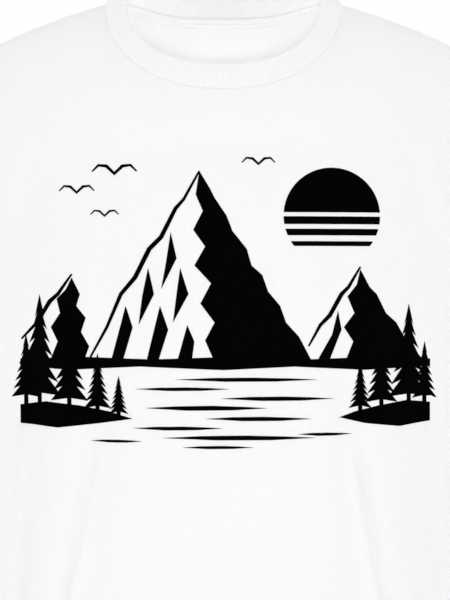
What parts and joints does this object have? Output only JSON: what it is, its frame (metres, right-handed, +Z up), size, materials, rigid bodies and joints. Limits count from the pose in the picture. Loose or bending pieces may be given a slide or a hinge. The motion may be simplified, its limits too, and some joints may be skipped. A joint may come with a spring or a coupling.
{
  "type": "crew-neck t-shirt",
  "caption": "White short-sleeved T-shirt with a ribbed crew neck, hollow, in the shape that it has when worn.",
  "frame": {"origin": "between the two neck points, where the shoulder seams meet the neck seam, level with them", "axes": "+Z up, +Y towards the wearer's back, +X towards the wearer's left"},
  "size_m": [0.7954, 0.2275, 0.7426],
  "materials": {
    "jersey": "white single jersey knit, matt",
    "hem_jersey": "the same jersey, turned up and twin-needle stitched",
    "rib_knit": "white one by one rib knit, folded double",
    "neck_tape": "white jersey tape",
    "seam_allowance": "overlocked cut edges of the jersey",
    "print_ink": "black screen-print ink on the jersey"
  },
  "bodies": {
    "root": {"front_panel": "jersey", "back_panel": "jersey", "sleeve_left": "jersey", "sleeve_right": "jersey", "front_hem": "hem_jersey", "back_hem": "hem_jersey", "sleeve_hem_left": "hem_jersey", "sleeve_hem_right": "hem_jersey", "neck_rib": "rib_knit", "neck_tape": "neck_tape", "shoulder_seam_left": "seam_allowance", "shoulder_seam_right": "seam_allowance", "side_seam_left": "seam_allowance", "side_seam_right": "seam_allowance", "armhole_seam_left": "seam_allowance", "armhole_seam_right": "seam_allowance"}
  },
  "joints": []
}
